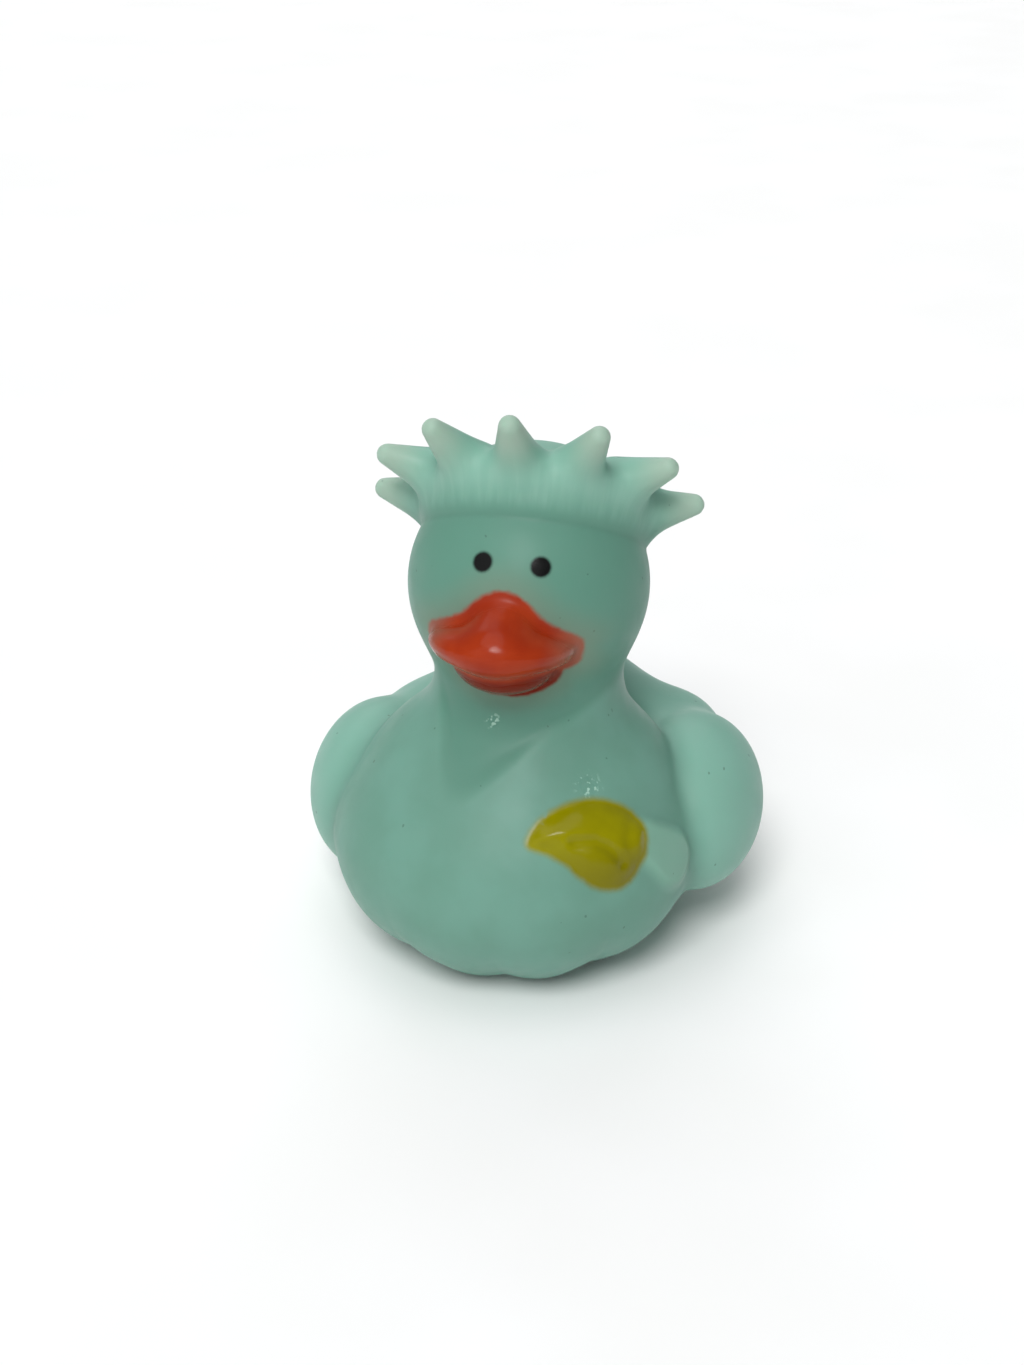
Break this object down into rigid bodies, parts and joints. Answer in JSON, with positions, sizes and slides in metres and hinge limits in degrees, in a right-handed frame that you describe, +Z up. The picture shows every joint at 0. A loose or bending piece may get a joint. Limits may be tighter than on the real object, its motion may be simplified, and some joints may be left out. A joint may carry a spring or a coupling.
{
  "type": "rubber duck",
  "caption": "Small hollow vinyl bath duck with a crown of blunt rays, painted bill and eyes and a raised flame on its breast.",
  "frame": {"origin": "middle of the object's box, on the flat base that it stands on", "axes": "+Z up through the crown, -Y the way the duck faces, +X towards the duck's own left wing"},
  "size_m": [0.0468, 0.0477, 0.0568],
  "materials": {
    "vinyl": "soft satin, slightly translucent"
  },
  "bodies": {
    "root": {"duck": "vinyl"}
  },
  "joints": []
}
